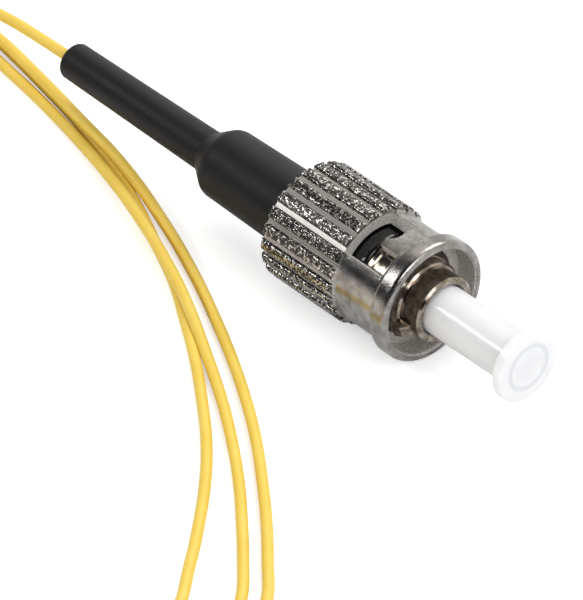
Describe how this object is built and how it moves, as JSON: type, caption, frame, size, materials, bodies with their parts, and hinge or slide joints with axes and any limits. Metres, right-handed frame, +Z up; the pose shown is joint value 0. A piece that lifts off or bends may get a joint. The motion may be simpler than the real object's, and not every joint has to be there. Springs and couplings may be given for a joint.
{
  "type": "bayonet fibre-optic connector with pigtail",
  "caption": "Bayonet fibre connector with a reeded metal coupling nut, black strain-relief boot, white dust cap and a coiled yellow buffered-fibre pigtail.",
  "frame": {"origin": "on the connector's axis, on the front face of the ferrule holder inside the barrel", "axes": "+X along the connector's axis towards the dust cap, +Z up from the surface that it lies on, the bayonet slots open at the top and on the -Y side"},
  "size_m": [0.0903, 0.0556, 0.01],
  "materials": {
    "cap_plastic": "translucent white, soft sheen",
    "zirconia": "polished white ceramic",
    "turned_metal": "fine turned lines",
    "fibre_glass": "clear",
    "plated_barrel": "bright nickel plate over turned lines",
    "black_ring": "glossy black, smooth",
    "spring_steel": "drawn steel wire and stamped steel",
    "plated_nut": "nickel plate over a grainy casting",
    "white_tube": "waxy white",
    "boot_rubber": "fine-grained matt black",
    "yellow_buffer": "satin yellow jacket"
  },
  "bodies": {
    "root": {"ferrule": "zirconia", "ferrule_holder": "turned_metal", "stripped_fibre": "fibre_glass", "barrel": "plated_barrel", "thrust_ring": "black_ring", "coupling_spring": "spring_steel", "retaining_clip": "spring_steel", "lead_in_tube": "white_tube", "boot": "boot_rubber", "inner_buffer": "yellow_buffer", "buffer_lead": "yellow_buffer", "buffer_loops": "yellow_buffer", "buffer_coil": "yellow_buffer"},
    "spring_stop": {"thrust_washer": "spring_steel"},
    "nut": {"coupling_nut": "plated_nut"},
    "cap": {"dust_cap": "cap_plastic"}
  },
  "joints": [
    {"name": "nut_push", "type": "slide", "parent": "root", "child": "spring_stop", "axis": [1, 0, 0], "range_m": [0, 0.0014], "stiffness_N_per_m": 2500, "springref_m": -0.001, "deforming": ["coupling_spring"]},
    {"name": "nut_turn", "type": "hinge", "parent": "spring_stop", "child": "nut", "pos_m": [0, 0, 0], "axis": [1, 0, 0], "continuous": true},
    {"name": "cap_pull", "type": "slide", "parent": "root", "child": "cap", "axis": [1, 0, 0], "range_m": [0, 0.009]}
  ]
}
